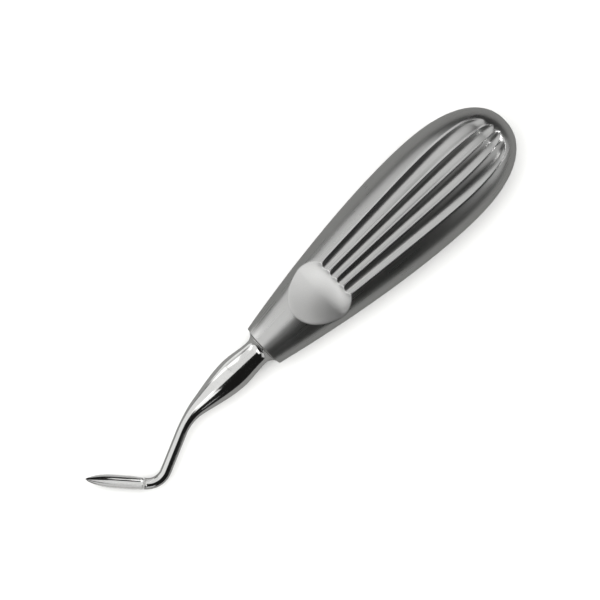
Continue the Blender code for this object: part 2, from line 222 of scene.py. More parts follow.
@dataclass(frozen=True)
class PearHandle:
    """The hollow handle: an elliptic pear with a saddle-shaped thumb rest and four flutes."""

    neck: Neck
    widest_at: float = 0.0594
    butt_length: float = 0.0272
    half_wide: float = 0.01379
    half_thick: float = 0.0101
    taper_power: float = 1.62
    butt_power_along: float = 2.6
    butt_power_across: float = 2.2
    wall: float = 0.0012
    cavity_flare: float = 0.011
    cavity_drop: float = 0.00105
    outer_ridge_at_dish: float = 0.0057
    outer_ridge_at_butt: float = 0.0051
    inner_ridge_share: float = 0.4645
    ridge_width: float = 0.0004
    ridge_rounding: float = 0.00005
    flute_deep: float = 0.00082
    flute_deep_at_dish: float = 0.00060
    flute_deep_at_butt: float = 0.00045
    flute_lead: float = 0.0018
    flute_start_run: float = 0.0048
    flute_end: float = 0.0838
    flute_end_arc: float = 0.0086
    flute_end_run: float = 0.0026
    flatness_at_dish: float = 0.92
    flatness_at_butt: float = 0.40
    flat_fade: float = 0.004
    dish_front: float = 0.0118
    dish_rear: float = 0.0263
    dish_valley_at: float = 0.0203
    dish_valley_height: float = 0.0057
    dish_front_power: float = 1.75
    dish_rear_power: float = 1.6
    dish_rim_power: float = 8.0
    dish_rim_share: float = 0.28
    dish_crown_radius: float = 0.025
    dish_rear_drop: float = 0.00045
    dish_rear_half_width: float = 0.0079
    dish_rear_drop_power: float = 6.0
    dish_rim_rounding: float = 0.00016
    dish_margin_ahead: float = 0.002
    dish_margin_behind: float = 0.001
    blast_edge: float = 0.00006
    crest_from: float = 0.86
    crest_fade: float = 0.001
    groove_columns: int = 18
    land_columns: int = 4
    shoulder_columns: int = 26
    shoulder_share: float = 0.088
    belly_columns: int = 64
    corner_rows: tuple[float, ...] = (0.0, 0.00003, 0.00008, 0.00016, 0.0003)
    corner_end: float = 0.0006
    seat_corner: float = 0.0001
    coarse_step: float = 0.0011
    dish_step: float = 0.00014
    dish_lead: float = 0.0015
    start_step: float = 0.0001
    start_reach: float = 0.003
    end_step: float = 0.00015
    butt_rows: int = 28
    lip_rows: int = 12
    cavity_rows: int = 26

    def pear(self, x: Value, front: float, widest: float, butt_length: float) -> Array:
        """Half size of the pear at x.

        Ahead of the widest section it is the widest less the whole taper times the share of the way
        forwards raised to the taper's power. Behind it, it is the widest times the butt's rounding,
        one less the share of the way back raised to one power, and all of that to another.
        """
        ahead = np.clip((self.widest_at - x) / self.widest_at, 0.0, None)
        behind = share_of(x, self.widest_at, self.widest_at + butt_length)
        taper = widest - (widest - front) * ahead**self.taper_power
        butt = widest * (1.0 - behind**self.butt_power_along) ** (1.0 / self.butt_power_across)
        return np.where(x <= self.widest_at, taper, butt)

    def half_width(self, x: Value) -> Array:
        """Half the handle's width at x."""
        return self.pear(x, self.neck.front_radius, self.half_wide, self.butt_length)

    def half_thickness(self, x: Value) -> Array:
        """Half the handle's thickness at x."""
        return self.pear(x, self.neck.front_radius, self.half_thick, self.butt_length)

    def field_share(self, x: Value) -> Array:
        """Half width of the fluted field, as a share of the handle's half width.

        It changes from the thumb rest to the flutes' end with the square of the way between them.
        """
        first = self.outer_ridge_at_dish / self.half_width(self.dish_rear)
        last = self.outer_ridge_at_butt / self.half_width(self.flute_end)
        return mix(first, last, share_of(x, self.dish_rear, self.flute_end) ** 2)

    def field_columns(self) -> tuple[Array, Array]:
        """Columns across the fluted field, as shares of its half width and places in a groove.

        The place runs from 1 to -1 across each groove, and it is 1 on the lands of the ridges.
        """
        field_width = 2.0 * self.half_wide * self.field_share(self.widest_at)
        land = self.ridge_width / field_width
        inner = self.inner_ridge_share
        ridges = np.array([1.0, inner, 0.0, -inner, -1.0])
        steps = np.linspace(1.0, -1.0, self.land_columns)
        place = np.linspace(1.0, -1.0, self.groove_columns + 2)[1:-1]
        shares, places = [ridges[0] + land * steps], [np.ones(self.land_columns)]
        for upper, lower in zip(ridges[:-1], ridges[1:]):
            groove = (upper + lower) / 2.0 + ((upper - lower) / 2.0 - land) * place
            shares += [groove, lower + land * steps]
            places += [place, np.ones(self.land_columns)]
        return np.concatenate(shares), np.concatenate(places)

    def round_shares(self) -> Array:
        """Columns from the field's edge round under the belly, as shares of that turn."""
        shoulder = self.shoulder_share * np.arange(1, self.shoulder_columns + 1) / self.shoulder_columns
        belly = np.linspace(self.shoulder_share, 1.0 - self.shoulder_share, self.belly_columns + 2)[1:-1]
        return np.concatenate([shoulder, belly, 1.0 - shoulder[::-1]])

    def flatness(self, x: Value) -> Array:
        """How far the fluted field is flattened, from 0 to 1.

        It eases in over the thumb rest's rear half, falls evenly to the flutes' end and eases out there.
        """
        way = share_of(x, self.dish_rear, self.flute_end)
        level = mix(self.flatness_at_dish, self.flatness_at_butt, way)
        rise = ease(x, self.dish_valley_at, self.dish_rear)
        return level * rise * ease(x, self.flute_end, self.flute_end - self.flat_fade)

    def field_height(self, x: Value) -> Array:
        """Height of the flattened field on its middle line."""
        edge_height = np.sqrt(1.0 - self.field_share(x) ** 2)
        return self.half_thickness(x) * (1.0 - self.flatness(x) * (1.0 - edge_height))

    def full_depth(self, x: Array) -> Array:
        """Depth of a flute's middle: it eases from the thumb rest's to the full one, and to the butt's."""
        rise = ease(x, self.dish_rear, self.widest_at)
        fall = ease(x, self.widest_at, self.flute_end)
        return mix(mix(self.flute_deep_at_dish, self.flute_deep, rise), self.flute_deep_at_butt, fall)

    def flute_depth(self, x: Array, y: Array, place: Array) -> Array:
        """Depth of a flute at x and y.

        It is the full depth times one less the square of the place across the groove. Over a run at
        each end the square of the way to the end is taken off too, which leaves a round end. The end
        line at the butt follows an arc about the axis.
        """
        arc = self.flute_end_arc - np.sqrt(np.maximum(self.flute_end_arc**2 - y * y, 0.0))
        from_start = (self.dish_rear - self.flute_lead + self.flute_start_run - x) / self.flute_start_run
        to_end = (x - self.flute_end + arc + self.flute_end_run) / self.flute_end_run
        way = np.maximum(np.maximum(from_start, to_end), 0.0)
        depth = self.full_depth(x) * np.maximum(1.0 - place**2 - way**2, 0.0)
        return np.sqrt(depth**2 + self.ridge_rounding**2) - self.ridge_rounding

    def dish_height(self, x: Array) -> Array:
        """Height of the thumb rest's floor on its middle line.

        From the valley it rises to the handle's surface at each edge, with a power of the share of
        the way there. At the rear a share of the rise has a high power, which steepens the rim.
        """
        valley = self.dish_valley_height
        rise_ahead = self.field_height(self.dish_front) - valley
        rise_behind = self.field_height(self.dish_rear) - valley
        ahead = np.maximum((self.dish_valley_at - x) / (self.dish_valley_at - self.dish_front), 0.0)
        behind = np.maximum((x - self.dish_valley_at) / (self.dish_rear - self.dish_valley_at), 0.0)
        wall = mix(behind**self.dish_rear_power, behind**self.dish_rim_power, self.dish_rim_share)
        return valley + rise_ahead * ahead**self.dish_front_power + rise_behind * wall

    def dish_floor(self, x: Array, y: Array) -> Array:
        """Height of the thumb rest's floor: its middle line, less a drop to both sides.

        At the front and in the valley it is a circle's drop. It eases into the rear wall's, which is
        nearly level over the flutes and then falls with a high power of the way out.
        """
        crown = self.dish_crown_radius
        circle = crown - np.sqrt(np.maximum(crown**2 - y * y, 0.0))
        wall = self.dish_rear_drop * np.abs(y / self.dish_rear_half_width) ** self.dish_rear_drop_power
        return self.dish_height(x) - mix(circle, wall, ease(x, self.dish_valley_at, self.dish_rear))

    def ring(self, x: Array, wide: Array, thick: Array) -> Array:
        """Plain elliptic rings at x, one row for each, with the columns that all rings share."""
        shares, _ = self.field_columns()
        x, wide, thick = x[:, None], wide[:, None], thick[:, None]
        field_sine = self.field_share(x) * shares[None, :]
        edge = np.arcsin(field_sine[:, :1])
        angle = -edge - (2.0 * math.pi - 2.0 * edge) * self.round_shares()[None, :]
        sine = np.concatenate([field_sine, np.sin(angle)], axis=1)
        cosine = np.concatenate([np.sqrt(1.0 - field_sine**2), np.cos(angle)], axis=1)
        return np.stack([np.broadcast_to(x, sine.shape), wide * sine, thick * cosine], axis=-1)

    def rows(self) -> Array:
        """Where the outer rings lie, from the front corner back.

        They are closest at the thumb rest and at the flutes' ends.
        """
        fine_from = self.dish_front - self.dish_lead
        starts_over = self.dish_rear + self.start_reach
        ends_from = self.flute_end - self.flute_end_arc
        stretches = (
            (self.corner_end, fine_from, self.coarse_step / 2.0),
            (fine_from, self.dish_rear, self.dish_step),
            (self.dish_rear, starts_over, self.start_step),
            (starts_over, self.widest_at, self.coarse_step),
            (self.widest_at, ends_from, self.coarse_step),
            (ends_from, self.flute_end, self.end_step),
        )
        first_turn = math.asin((self.flute_end - self.widest_at) / self.butt_length)
        turns = np.linspace(first_turn, math.pi / 2.0, self.butt_rows + 1)[:-1]
        butt = self.widest_at + self.butt_length * np.sin(turns)
        return np.concatenate([self.corner_rows, *(spread(*stretch) for stretch in stretches), butt])

    def outer_rings(self, x: Array) -> tuple[Array, Array, Array]:
        """The outer skin at x, with its thumb rest and flutes, and the masks of the blasted finish and of
        the ridge crests, which carry a painted highlight.

        Returns:
            The rings, the blasted mask and the crest mask.
        """
        rings = self.ring(x, self.half_width(x), self.half_thickness(x))
        _, places = self.field_columns()
        fluted = slice(0, len(places))
        along, across, height = (rings[:, fluted, axis].copy() for axis in range(3))
        flattened = mix(height, height[:, :1], self.flatness(x)[:, None])
        rings[:, fluted, 2] = flattened - self.flute_depth(along, across, places[None, :])
        body = rings[..., 2].copy()
        floor = self.dish_floor(rings[..., 0], rings[..., 1])
        near = (body > 0.0) & (rings[..., 0] > self.dish_front - self.dish_margin_ahead)
        near &= rings[..., 0] < self.dish_rear + self.dish_margin_behind
        rings[..., 2] = np.where(near, lower_of(body, floor, self.dish_rim_rounding), body)
        blasted = np.where(near, ease(body - floor, -self.blast_edge, self.blast_edge), 0.0)
        # The crest mask marks where the ridge crests get a painted highlight and a smoother finish.
        fade_in = ease(along, self.dish_rear, self.dish_rear + self.crest_fade)
        fade_out = ease(along, self.flute_end, self.flute_end - self.crest_fade)
        crest = np.zeros_like(blasted)
        crest[:, fluted] = fade_in * fade_out * ease(np.abs(places), self.crest_from, 1.0)[None, :]
        return rings, blasted, crest * (1.0 - blasted)

    def inner_rings(self) -> Array:
        """The lip, the seat, the bore and the hollow behind it, from the front corner backwards.

        The hollow's middle sinks below the axis as it widens, which leaves its roof thick enough for
        the flutes.
        """
        neck = self.neck
        lip = neck.between(neck.front_radius, neck.seat_radius, self.lip_rows)[1:]
        x = np.append(-lip[:, 0], [self.seat_corner, neck.seat_depth, neck.seat_depth, neck.bore_end])
        radius = np.append(lip[:, 1], [neck.seat_radius] * 2 + [neck.bore_radius] * 2)
        plain = self.ring(x, radius, radius)
        end = self.widest_at + self.butt_length - self.wall
        turns = np.sin(math.pi / 2.0 * np.arange(1, self.cavity_rows) / self.cavity_rows)
        cavity = mix(neck.bore_end, end, turns)
        flare = ease(cavity, neck.bore_end, neck.bore_end + self.cavity_flare)
        front, length = neck.front_radius - self.wall, self.butt_length - self.wall
        wide = self.pear(cavity, front, self.half_wide - self.wall, length)
        thick = self.pear(cavity, front, self.half_thick - self.wall - self.cavity_drop, length)
        hollow = self.ring(cavity, mix(neck.bore_radius, wide, flare), mix(neck.bore_radius, thick, flare))
        hollow[..., 2] -= self.cavity_drop * flare[:, None]
        return np.concatenate([plain, hollow])

    def skin(self) -> Skin:
        """The handle's whole skin: from the butt forwards, round the lip, and back inside it."""
        x = self.rows()[::-1]
        outer, blasted, crest = self.outer_rings(x)
        inner = self.inner_rings()
        hidden = np.zeros(inner.shape[:2])
        rings = np.concatenate([outer, inner])
        butt = self.widest_at + self.butt_length
        poles = np.array([[butt, 0.0, 0.0], [butt - self.wall, 0.0, -self.cavity_drop]])
        steps = np.linalg.norm(np.diff(rings[:, 0], axis=0), axis=-1)
        along = np.append(0.0, np.cumsum(steps))
        widest = rings[np.argmin(np.abs(x - self.widest_at))]
        sides = np.linalg.norm(np.diff(np.vstack([widest, widest[:1]]), axis=0), axis=-1)
        around = np.append(0.0, np.cumsum(sides))
        masks = {BLASTED: np.concatenate([blasted, hidden]), CREST: np.concatenate([crest, hidden])}
        return Skin(rings, poles, along, around, masks)


@dataclass(frozen=True)
class WorkingEnd:
    """The tang, flange, neck, bulge, tapering shank with two bends, and the half-round gouge blade."""

    neck: Neck
    fit_gap: float = 0.0003
    tang_length: float = 0.020
    tang_chamfer: float = 0.0006
    bulge_radius: float = 0.00434
    bulge_at: float = 0.0105
    shank_radius: float = 0.00147
    shank_taper_end: float = 0.0309
    first_bend_at: float = 0.0274
    first_bend_angle: float = math.radians(25.0)
    first_bend_radius: float = 0.0209
    middle_leg: float = 0.0194
    second_bend_angle: float = math.radians(72.0)
    second_bend_radius: float = 0.0053
    blade_leg: float = 0.0200
    blade_radius: float = 0.00175
    blade_wall: float = 0.00092
    blade_swell_lead: float = 0.0022
    blade_swell_run: float = 0.0070
    scoop_run: float = 0.0013
    rim_land: float = 0.00016
    nose_length: float = 0.0073
    nose_power: float = 0.78
    face_tilt_at_heel: float = math.radians(75.0)
    face_tilt_at_tip: float = math.radians(80.0)
    back_columns: int = 56
    face_columns: int = 64
    land_share: float = 0.045
    corner: float = 0.00004
    step: float = 0.00028
    fillet_rows: int = 36
    nose_rows: int = 30

    def legs(self) -> list[tuple[float, float]]:
        """Legs of the centreline from the tang to the tip, as lengths and turns."""
        first = self.first_bend_radius * math.tan(self.first_bend_angle / 2.0)
        second = self.second_bend_radius * math.tan(self.second_bend_angle / 2.0)
        return [
            (self.tang_length + self.first_bend_at - first, 0.0),
            (self.first_bend_radius * self.first_bend_angle, self.first_bend_angle),
            (self.middle_leg - first - second, 0.0),
            (self.second_bend_radius * self.second_bend_angle, -self.second_bend_angle),
            (self.blade_leg - second, 0.0),
        ]

    def centreline(self, distance: Array) -> tuple[Array, Array]:
        """Points and forward directions at these distances in front of the handle's corner.

        Each leg adds its own stretch: a straight one goes on along the heading, and a bend goes
        round a circle, whose radius is the leg's length over its turn.
        """
        left = distance + self.tang_length
        x = np.full_like(distance, self.tang_length)
        y = np.zeros_like(distance)
        heading = np.full_like(distance, math.pi)
        for length, turn in self.legs():
            step = np.clip(left, 0.0, length)
            after = heading + turn * step / length
            if turn:
                radius = length / turn
                x = x + radius * (np.sin(after) - np.sin(heading))
                y = y - radius * (np.cos(after) - np.cos(heading))
            else:
                x = x + step * np.cos(heading)
                y = y + step * np.sin(heading)
            heading = after
            left = left - length
        level = np.zeros_like(x)
        forward = np.stack([np.cos(heading), np.sin(heading), level], axis=-1)
        return np.stack([x, y, level], axis=-1), forward

    def tip_distance(self) -> float:
        """Length of the centreline from the handle's front corner to the tip."""
        return sum(length for length, _ in self.legs()) - self.tang_length

    def blade_start(self) -> float:
        """Where the second bend ends and the blade begins."""
        return self.tip_distance() - self.legs()[-1][0]

    def radius(self, distance: Array) -> Array:
        """Radius of the neck, the bulge, the taper and the gouge's back.

        The radius eases from the neck to the bulge, from there to the shank, and swells again to the
        blade. Over the nose it is multiplied by one less the squared share of the way to the tip,
        raised to the nose's power.
        """
        neck, bulge = self.neck.neck_radius, self.bulge_radius
        neck_at = float(self.neck.between(self.neck.seat_radius, neck, 1)[-1, 0])
        front = mix(neck, bulge, ease(distance, neck_at, self.bulge_at))
        shank = mix(bulge, self.shank_radius, ease(distance, self.bulge_at, self.shank_taper_end))
        swell_from = self.blade_start() - self.blade_swell_lead
        swell = ease(distance, swell_from, swell_from + self.blade_swell_run)
        shank = shank + (self.blade_radius - self.shank_radius) * swell
        tip = self.tip_distance()
        over_nose = share_of(distance, tip - self.nose_length, tip)
        return np.where(distance < self.bulge_at, front, shank * (1.0 - over_nose**2) ** self.nose_power)

    def section(self) -> tuple[Array, Array, Array]:
        """The section's columns: its circle, and the sunken parabola that the face side turns into.

        Returns:
            Points of the unit circle, points of the hollow across the unit circle with its depth as 1,
            and how far each of the hollow's columns stands in over the rim's land, from 0 to 1.
        """
        back = math.pi + math.pi * np.arange(self.back_columns + 1) / self.back_columns
        share = np.arange(1, self.face_columns) / self.face_columns
        circle_angle = np.append(back, math.pi * share)
        circle = np.stack([np.cos(circle_angle), np.sin(circle_angle)], axis=-1)
        inside = math.pi * share_of(share, self.land_share, 1.0 - self.land_share)
        hollow = np.stack([np.cos(inside), -np.sin(inside) ** 2], axis=-1)
        on_land = share_of(np.minimum(share, 1.0 - share), 0.0, self.land_share)
        return circle, hollow, on_land

    def rings(self, distance: Array, radius: Array) -> Array:
        """Rings of the working end: circles, which turn into a half-round gouge along the blade.

        On the face's side each point moves over the scoop's run from its circle to the hollow, which
        leaves the blade's wall under it and a narrow land inside the rim. The face turns between its
        tilts at the heel and at the tip.
        """
        centre, forward = self.centreline(distance)
        start = self.blade_start()
        along_blade = share_of(distance, start, self.tip_distance())
        tilt = mix(self.face_tilt_at_heel, self.face_tilt_at_tip, along_blade)
        cosine, sine = np.cos(tilt)[:, None], np.sin(tilt)[:, None]
        side = np.stack([forward[:, 1], -forward[:, 0], np.zeros(len(distance))], axis=-1)
        up = np.array([[0.0, 0.0, 1.0]])
        face = side * cosine + up * sine
        rim = up * cosine - side * sine
        circle, hollow, on_land = self.section()
        sunk = quarter_round(distance, start, start + self.scoop_run)[:, None]
        radius = radius[:, None]
        across = radius * circle[None, :, 0]
        outward = radius * circle[None, :, 1]
        inner = slice(self.back_columns + 1, None)
        edge = radius - self.rim_land * radius / self.blade_radius * on_land[None, :]
        depth = radius * (1.0 - self.blade_wall / self.blade_radius)
        across[:, inner] = mix(across[:, inner], edge * hollow[None, :, 0], sunk)
        outward[:, inner] = mix(outward[:, inner], depth * hollow[None, :, 1], sunk)
        return centre[:, None] + rim[:, None] * across[..., None] + face[:, None] * outward[..., None]

    def stations(self) -> tuple[Array, Array]:
        """Where the rings lie along the centreline, from the tang's end to the nose, and their radii."""
        tang, back_end = self.neck.bore_radius - self.fit_gap, -self.tang_length
        flange = self.neck.seat_radius - self.neck.seam
        back = self.fit_gap - self.neck.seat_depth
        fillet = self.neck.between(flange, self.neck.neck_radius, self.fillet_rows)
        hidden = [
            (back_end, tang - self.tang_chamfer),
            (back_end + self.tang_chamfer, tang),
            (back - self.corner, tang),
            (back, tang + self.corner),
            (back, flange - self.corner),
            (back + self.corner, flange),
            (float(fillet[0, 0]) - self.corner, flange),
        ]
        first = np.concatenate([np.array(hidden), fillet])
        nose = self.tip_distance() - self.nose_length
        plain = spread(float(fillet[-1, 0]) + self.step, nose, self.step)
        turns = np.sin(math.pi / 2.0 * np.arange(self.nose_rows) / self.nose_rows)
        rest = np.append(plain, nose + self.nose_length * turns)
        return np.append(first[:, 0], rest), np.append(first[:, 1], self.radius(rest))

    def skin(self) -> Skin:
        """The whole skin of the working end, from the tang's end to the tip."""
        distance, radius = self.stations()
        rings = self.rings(distance, radius)
        ends, _ = self.centreline(np.array([-self.tang_length, self.tip_distance()]))
        columns = rings.shape[1]
        around = 2.0 * math.pi * self.bulge_radius * np.arange(columns + 1) / columns
        return Skin(rings, ends, distance + self.tang_length, around)


@dataclass(frozen=True)
class Rest:
    """How the tool lies on the table: its tip pitched down and its belly on a small flat."""

    pitch: float = math.radians(3.7)
    flat_depth: float = 0.00015

    def up(self) -> Array:
        """The direction in the tool's frame that is up once it lies on the table."""
        return np.array([math.sin(self.pitch), 0.0, math.cos(self.pitch)])

    def cut_flat(self, points: Array) -> Array:
        """Presses every point below the flat's level up to it, square to the table."""
        height = points @ self.up()
        level = height.min() + self.flat_depth
        return points + np.maximum(level - height, 0.0)[..., None] * self.up()

    def turned(self, points: Array) -> Array:
        """Points turned about Y so that the tip is pitched down."""
        cosine, sine = math.cos(self.pitch), math.sin(self.pitch)
        x = points[..., 0] * cosine - points[..., 2] * sine
        z = points[..., 0] * sine + points[..., 2] * cosine
        return np.stack([x, points[..., 1], z], axis=-1)

    def shift_to(self, points: Array, node: Node) -> Array:
        """The move that brings the turned points to a solid's butt end, middle and lowest level."""
        low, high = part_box(node.value)
        turned = self.turned(points).reshape(-1, 3)
        least, most = turned.min(axis=0), turned.max(axis=0)
        sideways = (low.y + high.y) / 2.0 - (least[1] + most[1]) / 2.0
        return np.array([high.x - most[0], sideways, low.z - least[2]])

    def laid(self, skin: Skin, shift: Array) -> Skin:
        """The skin turned and moved to its place on the table."""
        return replace(skin, rings=self.turned(skin.rings) + shift, poles=self.turned(skin.poles) + shift)


def add_object(name: str, data: bpy.types.ID) -> bpy.types.Object:
    """Puts a new object with this data into the scene."""
    made = bpy.data.objects.new(name, data)
    bpy.context.scene.collection.objects.link(made)
    return made


class Noise(NamedTuple):
    """How many finer layers a noise has, and how strongly each one shows."""

    detail: float
    roughness: float


class NodeBench:
    """Adds nodes to one node tree and joins them."""

    def __init__(self, tree: bpy.types.NodeTree) -> None:
        """Keeps the tree to work on."""
        self.tree = tree

    def feed(self, socket: bpy.types.NodeSocket, value: object) -> None:
        """Joins a socket to another, or sets its value."""
        if isinstance(value, bpy.types.NodeSocket):
            self.tree.links.new(value, socket)
        else:
            socket.default_value = value

    def feed_all(self, node: bpy.types.Node, **inputs: object) -> None:
        """Feeds a node's inputs, given with _ for each space in their names."""
        for name, value in inputs.items():
            self.feed(node.inputs[name.replace("_", " ")], value)

    def add(self, kind: str, settings: dict[str, object] | None = None, **inputs: object) -> bpy.types.Node:
        """Adds a node.

        Args:
            kind: The node's type.
            settings: Values of the node's own options.
            inputs: Values or sockets for its inputs, with _ for each space in their names.

        Returns:
            The new node.
        """
        node = self.tree.nodes.new(kind)
        for name, value in (settings or {}).items():
            setattr(node, name, value)
        self.feed_all(node, **inputs)
        return node

    def math(self, operation: str, *values: object) -> bpy.types.NodeSocket:
        """The result of a Math node."""
        node = self.add("ShaderNodeMath", {"operation": operation})
        for socket, value in zip(node.inputs, values):
            self.feed(socket, value)
        return node.outputs[0]

    def blend(self, factor: object, first: object, second: object) -> bpy.types.NodeSocket:
        """A value between two values."""
        node = self.add("ShaderNodeMix", {"data_type": "FLOAT"})
        for place, value in ((0, factor), (2, first), (3, second)):
            self.feed(node.inputs[place], value)
        return node.outputs[0]

    def blend_colour(self, factor: object, first: object, second: object) -> bpy.types.NodeSocket:
        """A colour between two colours."""
        node = self.add("ShaderNodeMix", {"data_type": "RGBA"})
        for place, value in ((0, factor), (6, first), (7, second)):
            self.feed(node.inputs[place], value)
        return node.outputs[2]

    def range(self, value: object, low: float, high: float) -> bpy.types.NodeSocket:
        """Where a value lies between low and high, from 0 to 1."""
        limits = {"From Min": low, "From Max": high}
        return self.add("ShaderNodeMapRange", {"clamp": True}, Value=value, **limits).outputs[0]

    def bump(self, height: object, distance: float) -> bpy.types.NodeSocket:
        """The surface's direction, tilted by a height that is this distance at most."""
        return self.add("ShaderNodeBump", Height=height, Strength=1.0, Distance=distance).outputs[0]

    def noise(self, place: object, scale: object, kind: Noise) -> bpy.types.NodeSocket:
        """A noise's value at a place."""
        layers = {"Detail": kind.detail, "Roughness": kind.roughness}
        return self.add("ShaderNodeTexNoise", Vector=place, Scale=scale, **layers).outputs["Fac"]


@dataclass(frozen=True)
class Effect:
    """A shader node group with named inputs and outputs, built once and placed in several materials."""

    name: str
    inputs: tuple[str, ...]
    outputs: tuple[str, ...]

    def begin(self) -> tuple[bpy.types.NodeTree, NodeBench, bpy.types.Node, bpy.types.Node]:
        """Makes the empty group, with a vector socket for its first input and values for the others."""
        tree = bpy.data.node_groups.new(self.name, "ShaderNodeTree")
        for place, name in enumerate(self.inputs):
            kind = "NodeSocketVector" if place == 0 else "NodeSocketFloat"
            tree.interface.new_socket(name=name, in_out="INPUT", socket_type=kind)
        for name in self.outputs:
            tree.interface.new_socket(name=name, in_out="OUTPUT", socket_type="NodeSocketFloat")
        bench = NodeBench(tree)
        return tree, bench, bench.add("NodeGroupInput"), bench.add("NodeGroupOutput")


@dataclass(frozen=True)
class PolishLines(Effect):
    """Fine lines that the polishing belt leaves along the surface, and the haze of coarser ones."""

    name: str = "polish_lines"
    inputs: tuple[str, ...] = ("Surface", "Lines Per Metre", "Stretch")
    outputs: tuple[str, ...] = ("Height", "Haze")
    fine: Noise = Noise(3.0, 0.6)
    coarse: Noise = Noise(2.0, 0.5)
    coarse_scale: float = 0.22
    coarse_share: float = 0.4
    haze_range: tuple[float, float] = (0.35, 0.65)

    def build(self) -> bpy.types.NodeTree:
        """Noise that is drawn out along the surface: one fine, and one over four times as coarse."""
        tree, bench, given, result = self.begin()
        dense = given.outputs["Lines Per Metre"]
        long = bench.math("DIVIDE", dense, given.outputs["Stretch"])
        scale = bench.add("ShaderNodeCombineXYZ", X=long, Y=dense, Z=dense)
        place = bench.add("ShaderNodeVectorMath", {"operation": "MULTIPLY"})
        bench.feed(place.inputs[0], given.outputs["Surface"])
        bench.feed(place.inputs[1], scale.outputs[0])
        fine = bench.noise(place.outputs[0], 1.0, self.fine)
        coarse = bench.noise(place.outputs[0], self.coarse_scale, self.coarse)
        height = bench.blend(self.coarse_share, fine, coarse)
        bench.feed_all(result, Height=height, Haze=bench.range(coarse, *self.haze_range))
        return tree


@dataclass(frozen=True)
class HandMarks(Effect):
    """The faint cloudy patches that handling and wiping leave on steel."""

    name: str = "hand_marks"
    inputs: tuple[str, ...] = ("Position", "Patches Per Metre")
    outputs: tuple[str, ...] = ("Mask", "Speck")
    cloud: Noise = Noise(4.0, 0.55)
    dust: Noise = Noise(1.0, 0.5)
    dust_scale: float = 24.0
    cloud_range: tuple[float, float] = (0.42, 0.68)
    speck_range: tuple[float, float] = (0.62, 0.74)

    def build(self) -> bpy.types.NodeTree:
        """Soft noise for the patches, and a fine noise whose highest points are specks."""
        tree, bench, given, result = self.begin()
        position, scale = given.outputs["Position"], given.outputs["Patches Per Metre"]
        cloud = bench.noise(position, scale, self.cloud)
        dust = bench.noise(position, bench.math("MULTIPLY", scale, self.dust_scale), self.dust)
        mask, speck = bench.range(cloud, *self.cloud_range), bench.range(dust, *self.speck_range)
        bench.feed_all(result, Mask=mask, Speck=speck)
        return tree


@dataclass(frozen=True)
class Grain(Effect):
    """The tiny craters of a bead-blasted surface."""

    name: str = "blast_grain"
    inputs: tuple[str, ...] = ("Position", "Craters Per Metre")
    outputs: tuple[str, ...] = ("Height", "Glint")
    fine: Noise = Noise(2.0, 0.6)
    fine_share: float = 0.5
    glint_range: tuple[float, float] = (0.55, 0.75)

    def build(self) -> bpy.types.NodeTree:
        """The distance to the nearest of many scattered points, blended with fine noise."""
        tree, bench, given, result = self.begin()
        position, scale = given.outputs["Position"], given.outputs["Craters Per Metre"]
        craters = bench.add("ShaderNodeTexVoronoi", {"feature": "SMOOTH_F1"}, Vector=position, Scale=scale)
        fine = bench.noise(position, scale, self.fine)
        height = bench.blend(self.fine_share, craters.outputs["Distance"], fine)
        bench.feed_all(result, Height=height, Glint=bench.range(fine, *self.glint_range))
        return tree


@dataclass(frozen=True)
class SteelEffects:
    """The three effects that the steels share."""

    lines: bpy.types.NodeTree
    marks: bpy.types.NodeTree
    grain: bpy.types.NodeTree


def grey(level: float) -> tuple[float, float, float, float]:
    """A grey that is slightly less blue than red, as stainless steel is."""
    return (level, level, level * STEEL_BLUE_SHARE, 1.0)


def new_material(name: str, metallic: float) -> tuple[bpy.types.Material, NodeBench, bpy.types.Node]:
    """A new material, with its node bench and its shader."""
    material = bpy.data.materials.new(name)
    material.use_nodes = True
    shader = material.node_tree.nodes["Principled BSDF"]
    shader.inputs["Metallic"].default_value = metallic
    return material, NodeBench(material.node_tree), shader


class Polish(NamedTuple):
    """What both steels have from polishing and handling, as the sockets that carry it."""

    line_height: bpy.types.NodeSocket
    mask: bpy.types.NodeSocket
    speck: bpy.types.NodeSocket
    colour: bpy.types.NodeSocket
    roughness: bpy.types.NodeSocket


@dataclass(frozen=True)
class SteelFinish:
    """A polished steel: lines along the surface, with a haze of coarser ones, and wiping marks."""

    level: float
    marked_level: float
    roughness: float
    haze: float
    line_height: float
    lines_per_metre: float
    line_stretch: float
    patches_per_metre: float

    def polish(self, bench: NodeBench, effects: SteelEffects) -> Polish:
        """Adds the lines and the marks to a material."""
        surface = bench.add("ShaderNodeUVMap", {"uv_map": SURFACE_MAP}).outputs[0]
        position = bench.add("ShaderNodeTexCoord").outputs["Object"]
        lines = bench.add("ShaderNodeGroup", {"node_tree": effects.lines}, Surface=surface)
        bench.feed_all(lines, Lines_Per_Metre=self.lines_per_metre, Stretch=self.line_stretch)
        marks = bench.add("ShaderNodeGroup", {"node_tree": effects.marks}, Position=position)
        bench.feed_all(marks, Patches_Per_Metre=self.patches_per_metre)
        mask = marks.outputs["Mask"]
        colour = bench.blend_colour(mask, grey(self.level), grey(self.marked_level))
        hazed = bench.blend(lines.outputs["Haze"], self.roughness - self.haze, self.roughness + self.haze)
        return Polish(lines.outputs["Height"], mask, marks.outputs["Speck"], colour, hazed)


